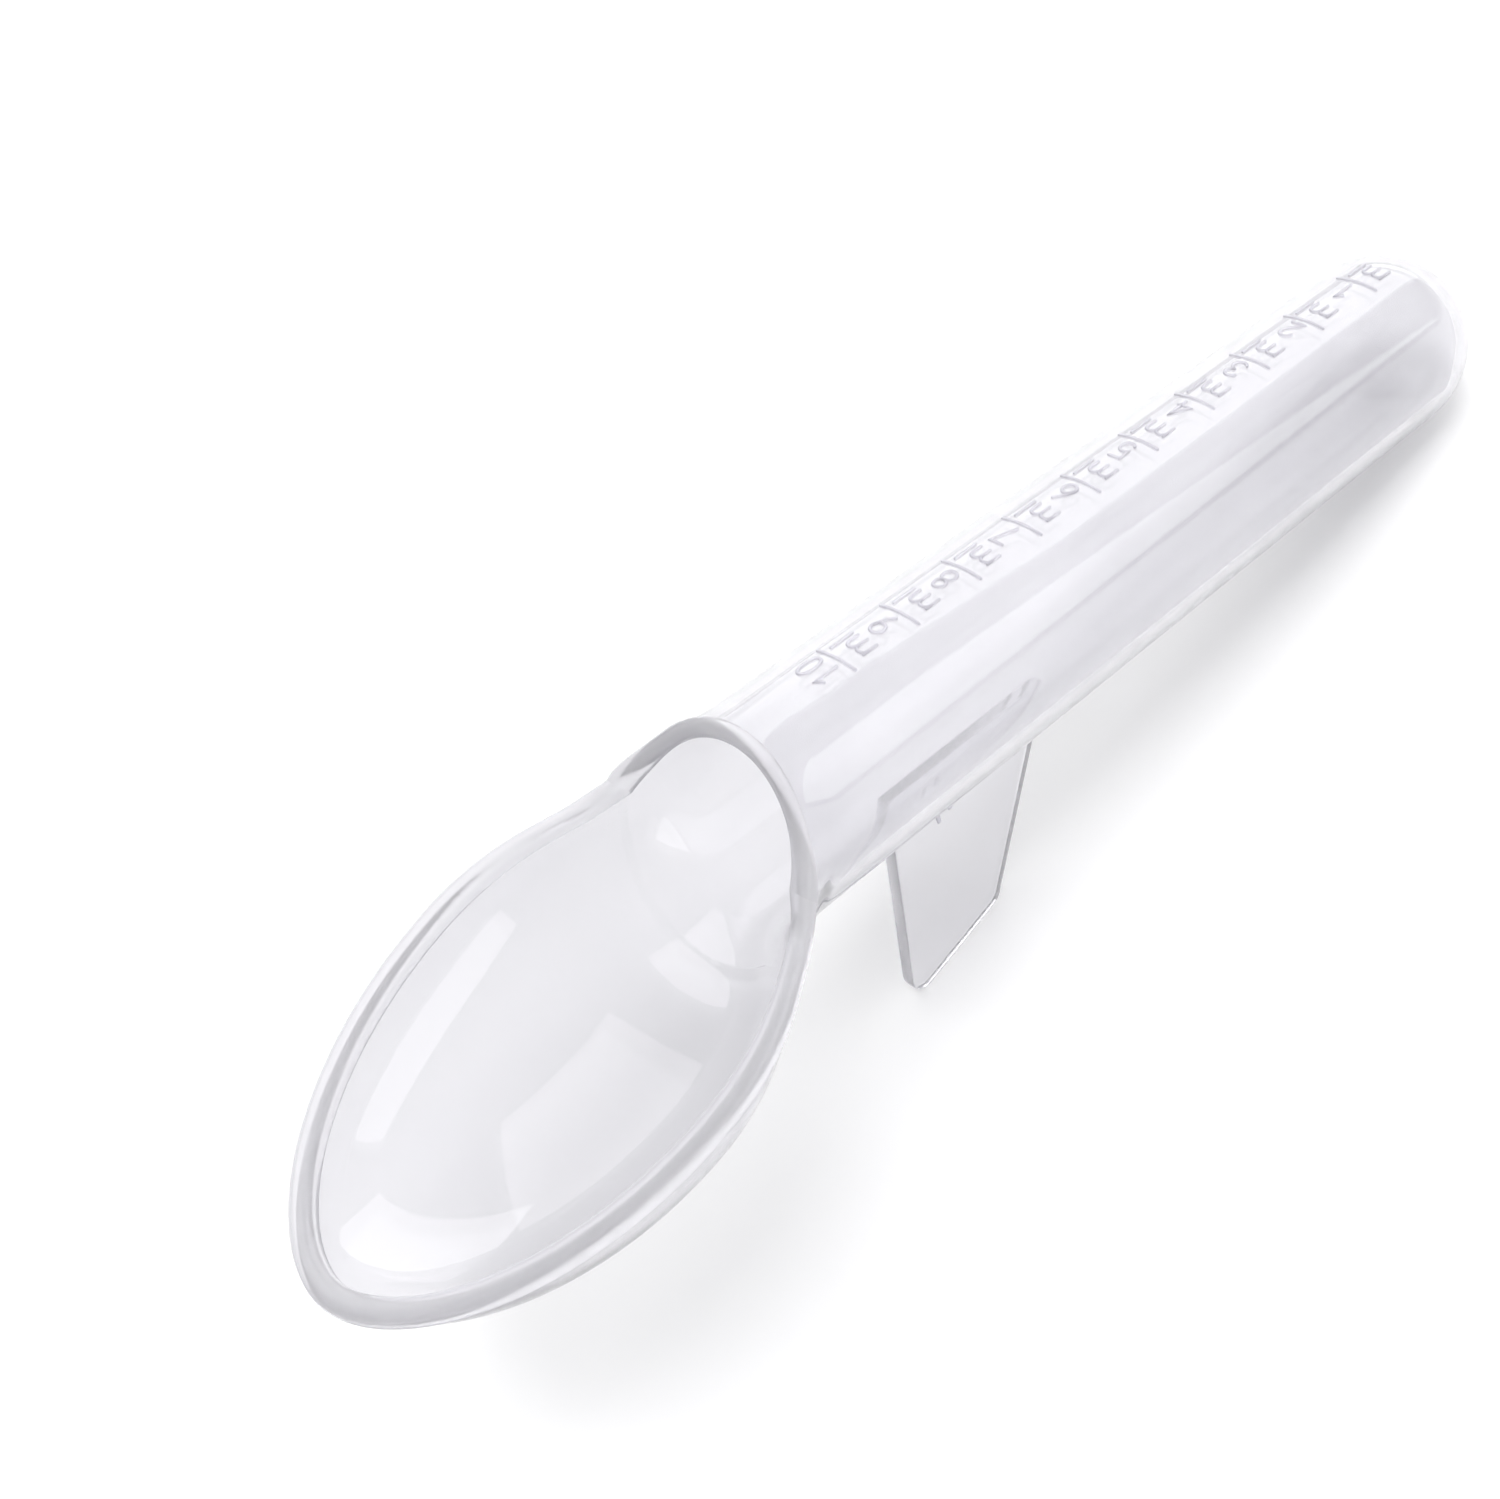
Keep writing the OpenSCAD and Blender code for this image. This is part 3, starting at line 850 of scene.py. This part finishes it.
def bar(skin, shape, s, v):
    """A small raised bar with drafted sides on the keel's face."""
    keel = shape.keel
    relief = shape.scale.relief
    rings = []
    for lift, shrink in ((GAP, 0), (relief * 0.6, 0), (relief, 0.2 * keel.stroke_w)):
        points = []
        for a, b in ((0, 0), (1, 0), (1, 1), (0, 1)):
            p = min(max(a * keel.stroke_w, shrink), keel.stroke_w - shrink)
            q = min(max(b * keel.stroke_h, shrink), keel.stroke_h - shrink)
            along = p * math.cos(keel.stroke_lean) + q * math.sin(keel.stroke_lean)
            above = q * math.cos(keel.stroke_lean) - p * math.sin(keel.stroke_lean)
            points.append(shape.at(s + along, keel.thick / 2 + lift, v + above))
        rings.append(skin.ring(points))
    for a, b in zip(rings, rings[1:]):
        skin.bridge(a, b)
    skin.face(rings[0])
    skin.face(rings[-1])


# ---------------------------------------------------------------- graduations


def arc(cx, cy, rx, ry, first, last, parts=14):
    """Points of an elliptical arc, in degrees."""
    turns = [math.radians(first + (last - first) * k / parts) for k in range(parts + 1)]
    return [(cx + rx * math.cos(a), cy + ry * math.sin(a)) for a in turns]


def digit_strokes(n, w, h, pen):
    """Pen strokes of a digit in a box w wide and h high; True marks a closed loop."""
    e = pen / 2
    rx = w / 2 - e
    mid = w / 2
    low = (h - pen) / 4 * 1.08
    high = (h - pen) / 2 - low
    belly = low * 1.05
    top = h - e
    strokes = {
        0: [(arc(mid, h / 2, rx, h / 2 - e, 0, 360, 36)[:-1], True)],
        1: [([(mid - 0.17 * h, top - 0.16 * h), (mid + 0.04 * h, top), (mid + 0.04 * h, e)], False)],
        2: [(arc(mid, top - rx, rx, rx, 165, -35) + [(e, e), (w - e, e)], False)],
        3: [(arc(mid, top - high, rx, high, 150, -80) + arc(mid, e + low, rx, low, 80, -150), False)],
        4: [([(w - e, h * 0.3), (e, h * 0.3), (w * 0.7, top), (w * 0.7, e)], False)],
        5: [([(w - e, top), (e + 0.05 * h, top)] + arc(mid, e + belly, rx, belly, 140, -145), False)],
        6: [
            (arc(mid, e + low, rx, low, 0, 360, 28)[:-1], True),
            ([(w * 0.74, top), (w * 0.34, h * 0.66), (e, e + low)], False),
        ],
        7: [([(e, top), (w - e, top), (w * 0.35, e)], False)],
        8: [
            (arc(mid, e + low, rx, low, 0, 360, 28)[:-1], True),
            (arc(mid, top - high, rx * 0.86, high, 0, 360, 28)[:-1], True),
        ],
        9: [
            (arc(mid, top - low, rx, low, 0, 360, 28)[:-1], True),
            ([(w - e, top - low), (w * 0.66, h * 0.34), (w * 0.26, e)], False),
        ],
    }
    return strokes[n]


def moved(strokes, dx, dy):
    """The same strokes, shifted."""
    return [([(x + dx, y + dy) for x, y in points], loop) for points, loop in strokes]


def unit_strokes(h, pen):
    """A small m and a small l under the line."""
    body = 0.66 * h
    r = 0.19 * h
    left = -2.7 * r
    e = pen / 2
    strokes = [([(left, e), (left, body - e)], False)]
    for k in range(2):
        x = left + 2 * r * k
        strokes.append((arc(x + r, body - r - e, r, r, 180, 0) + [(x + 2 * r, e)], False))
    strokes.append(([(2.55 * r, e), (2.55 * r, h - e)], False))
    return strokes


def mark_strokes(k, scale):
    """Line in the middle, numeral above it and the unit below it."""
    h = scale.text_h
    pen = scale.stroke
    width = 0.58 * h
    strokes = [([(-scale.line / 2 + pen / 2, 0), (scale.line / 2 - pen / 2, 0)], False)]
    if k < 10:
        strokes += moved(digit_strokes(k, width, h, pen), -width / 2, scale.gap)
    else:
        strokes += moved(digit_strokes(1, width, h, pen), -width - 0.04 * h, scale.gap)
        strokes += moved(digit_strokes(0, width, h, pen), 0.1 * h, scale.gap)
    return strokes + moved(unit_strokes(h, pen), 0, -scale.gap - h)


def fine(points, loop, reach):
    """The same line with points no further apart than reach."""
    made = []
    ends = points[1:] + points[:1] if loop else points[1:]
    for (x0, y0), (x1, y1) in zip(points, ends):
        parts = max(1, math.ceil(math.hypot(x1 - x0, y1 - y0) / reach))
        made += [(x0 + (x1 - x0) * k / parts, y0 + (y1 - y0) * k / parts) for k in range(parts)]
    if not loop:
        made.append(points[-1])
    return made


def raise_stroke(skin, shape, s, points, loop):
    """Lays one pen stroke on the tube's top, with drafted sides, a rounded top and round ends."""
    scale = shape.scale
    pen = scale.stroke
    points = [Vector(p) for p in fine(points, loop, pen * 0.7)]
    n = len(points)
    half = ((0.5, GAP), (0.42, 0.7 * scale.relief), (0.24, scale.relief))
    section = [(-across, lift) for across, lift in half] + list(reversed(half))

    def lay(x, y, lift):
        place = s + y
        r = shape.tube_r(place)
        return shape.around(place, r + lift, -x / r)

    def ring(p, across, share, along, push):
        points_here = []
        for offset, lift in section:
            q = p + across * (offset * pen * share) + along * push
            low = GAP + (lift - GAP) * share**0.3
            points_here.append(lay(q.x, q.y, low))
        return skin.ring(points_here)

    rings = []
    for i in range(n):
        before = points[i] - points[i - 1] if i or loop else points[1] - points[0]
        after = points[(i + 1) % n] - points[i] if i < n - 1 or loop else points[-1] - points[-2]
        before = before.normalized()
        after = after.normalized()
        along = (before + after).normalized() if (before + after).length > 1e-6 else before
        across = Vector((-along.y, along.x)) / max(along.dot(after), 0.6)
        if not loop and i == 0:
            for share in (0.4, 0.75, 0.95):
                rings.append(ring(points[0], across, share, along, -pen / 2 * math.sqrt(1 - share * share)))
        rings.append(ring(points[i], across, 1.0, along, 0.0))
        if not loop and i == n - 1:
            for share in (0.95, 0.75, 0.4):
                rings.append(ring(points[i], across, share, along, pen / 2 * math.sqrt(1 - share * share)))
    for a, b in zip(rings, rings[1:]):
        skin.bridge(a, b)
    if loop:
        skin.bridge(rings[-1], rings[0])
    else:
        skin.face(rings[0])
        skin.face(rings[-1])


class SPOON_OT_graduations(Operator):
    """Build the ten raised graduations with their numerals and unit"""

    bl_idname = "spoon.graduations"
    bl_label = "Graduations"

    def execute(self, context):
        shape = Shape(context)
        for k in range(1, GRADUATIONS + 1):
            skin = Skin()
            for points, loop in mark_strokes(k, shape.scale):
                raise_stroke(skin, shape, shape.marks[k - 1], points, loop)
            plastics = materials(context, "Raised marks")
            skin.piece(f"Graduation_{k:02d}", [f"graduation_{k:02d}"], plastics, "clear_marks", 60)
        return {"FINISHED"}


# ---------------------------------------------------------------- studio

# Name, azimuth and elevation as seen from the spoon, half its width and height in degrees, and its radiance
REFLECTED = (
    ("Left_softbox", -150, 22, 27, 17, 2.05),
    ("Back_softbox", -98, 50, 20, 24, 1.5),
    ("Front_softbox", 110, 22, 35, 18, 1.75),
)
KEY = ("Key_softbox", 90, 80, 13, 13, 8.2)
FLOOR_REACH = 3.0
FLOOR_DROP = 0.00005
LAMP_AWAY = 2.4
LAMP_TARGET = Vector((0, 0, 0.03))
# Light crosses up to four walls of clear plastic, each with two faces
BOUNCES = {"max_bounces": 24, "glossy_bounces": 16, "transmission_bounces": 20, "transparent_max_bounces": 32}


def softbox(name, azimuth, elevation, wide, high, glow):
    """A rectangular lamp that faces the spoon."""
    data = bpy.data.lights.new(name, "AREA")
    data.shape = "RECTANGLE"
    data.size = 2 * LAMP_AWAY * math.tan(math.radians(wide))
    data.size_y = 2 * LAMP_AWAY * math.tan(math.radians(high))
    data.energy = glow * math.pi * data.size * data.size_y
    made = bpy.data.objects.new(name, data)
    turn = math.radians(azimuth)
    rise = math.radians(elevation)
    away = Vector((math.cos(rise) * math.cos(turn), math.cos(rise) * math.sin(turn), math.sin(rise)))
    made.location = LAMP_TARGET + away * LAMP_AWAY
    made.rotation_euler = (-away).to_track_quat("-Z", "Y").to_euler()
    bpy.context.scene.collection.objects.link(made)
    return made


class SPOON_OT_studio(Operator):
    """Build the floor, the lamps and the camera"""

    bl_idname = "spoon.studio"
    bl_label = "Studio"

    def execute(self, context):
        look = context.scene.spoon_studio
        self.floor(context, look)
        self.lamps(context, look)
        self.camera(context, look)
        return {"FINISHED"}

    def floor(self, context, look):
        mesh = bpy.data.meshes.new("Floor")
        corners = [(x * FLOOR_REACH, y * FLOOR_REACH, 0) for x, y in ((-1, -1), (1, -1), (1, 1), (-1, 1))]
        mesh.from_pydata(corners, [], [(0, 1, 2, 3)])
        floor = bpy.data.objects.new("Floor", mesh)
        floor.location.z = -FLOOR_DROP
        context.scene.collection.objects.link(floor)
        material = bpy.data.materials.new("Studio floor")
        material.use_nodes = True
        body = material.node_tree.nodes["Principled BSDF"]
        body.inputs["Base Color"].default_value = (*look.floor, 1)
        body.inputs["Roughness"].default_value = 0.9
        body.inputs["Specular IOR Level"].default_value = 0.0
        mesh.materials.append(material)

    def lamps(self, context, look):
        world = bpy.data.worlds.new("Studio")
        world.use_nodes = True
        surround = world.node_tree.nodes["Background"]
        surround.inputs["Color"].default_value = (*look.sky, 1)
        surround.inputs["Strength"].default_value = look.sky_power
        context.scene.world = world
        for lamp in REFLECTED:
            softbox(*lamp)
        key = softbox(*KEY)
        key.visible_glossy = False
        key.visible_transmission = False
        context.scene.view_settings.view_transform = "Standard"
        for name, count in BOUNCES.items():
            setattr(context.scene.cycles, name, count)

    def camera(self, context, look):
        data = bpy.data.cameras.new("Camera")
        data.lens = look.lens
        data.sensor_width = 36
        data.clip_start = 0.005
        camera = bpy.data.objects.new("Camera", data)
        context.scene.collection.objects.link(camera)
        back = look.back.normalized()
        right = (look.right - back * look.right.dot(back)).normalized()
        turn = Matrix((right, back.cross(right), back)).transposed()
        camera.matrix_world = Matrix.LocRotScale(look.place, turn, None)
        context.scene.camera = camera


# ---------------------------------------------------------------- add-on

BUILD_ORDER = (
    SPOON_OT_dome,
    SPOON_OT_barrel,
    SPOON_OT_mouth,
    SPOON_OT_bowl,
    SPOON_OT_rim,
    SPOON_OT_keel,
    SPOON_OT_graduations,
    SPOON_OT_studio,
)

GROUPS = (
    ("spoon_tube", SpoonTubeSizes),
    ("spoon_bowl", SpoonBowlSizes),
    ("spoon_blend", SpoonBlendSizes),
    ("spoon_rim", SpoonRimSizes),
    ("spoon_keel", SpoonKeelSizes),
    ("spoon_scale", SpoonScaleSizes),
    ("spoon_plastic", SpoonPlasticLook),
    ("spoon_studio", SpoonStudioLook),
)


class SPOON_PT_panel(Panel):
    """Sizes and finishes of the spoon, with a button for each piece"""

    bl_idname = "SPOON_PT_panel"
    bl_label = "Medicine spoon"
    bl_space_type = "VIEW_3D"
    bl_region_type = "UI"
    bl_category = "Spoon"

    def draw(self, context):
        for operator in BUILD_ORDER:
            self.layout.operator(operator.bl_idname)
        for attribute, group in GROUPS:
            box = self.layout.box()
            for field in group.__annotations__:
                box.prop(getattr(context.scene, attribute), field)


def register():
    for attribute, group in GROUPS:
        bpy.utils.register_class(group)
        setattr(bpy.types.Scene, attribute, PointerProperty(type=group))
    for operator in BUILD_ORDER:
        bpy.utils.register_class(operator)
    bpy.utils.register_class(SPOON_PT_panel)


def unregister():
    bpy.utils.unregister_class(SPOON_PT_panel)
    for operator in reversed(BUILD_ORDER):
        bpy.utils.unregister_class(operator)
    for attribute, group in reversed(GROUPS):
        delattr(bpy.types.Scene, attribute)
        bpy.utils.unregister_class(group)


def main():
    register()
    for operator in BUILD_ORDER:
        family, verb = operator.bl_idname.split(".")
        getattr(getattr(bpy.ops, family), verb)()


if __name__ == "__main__":
    main()
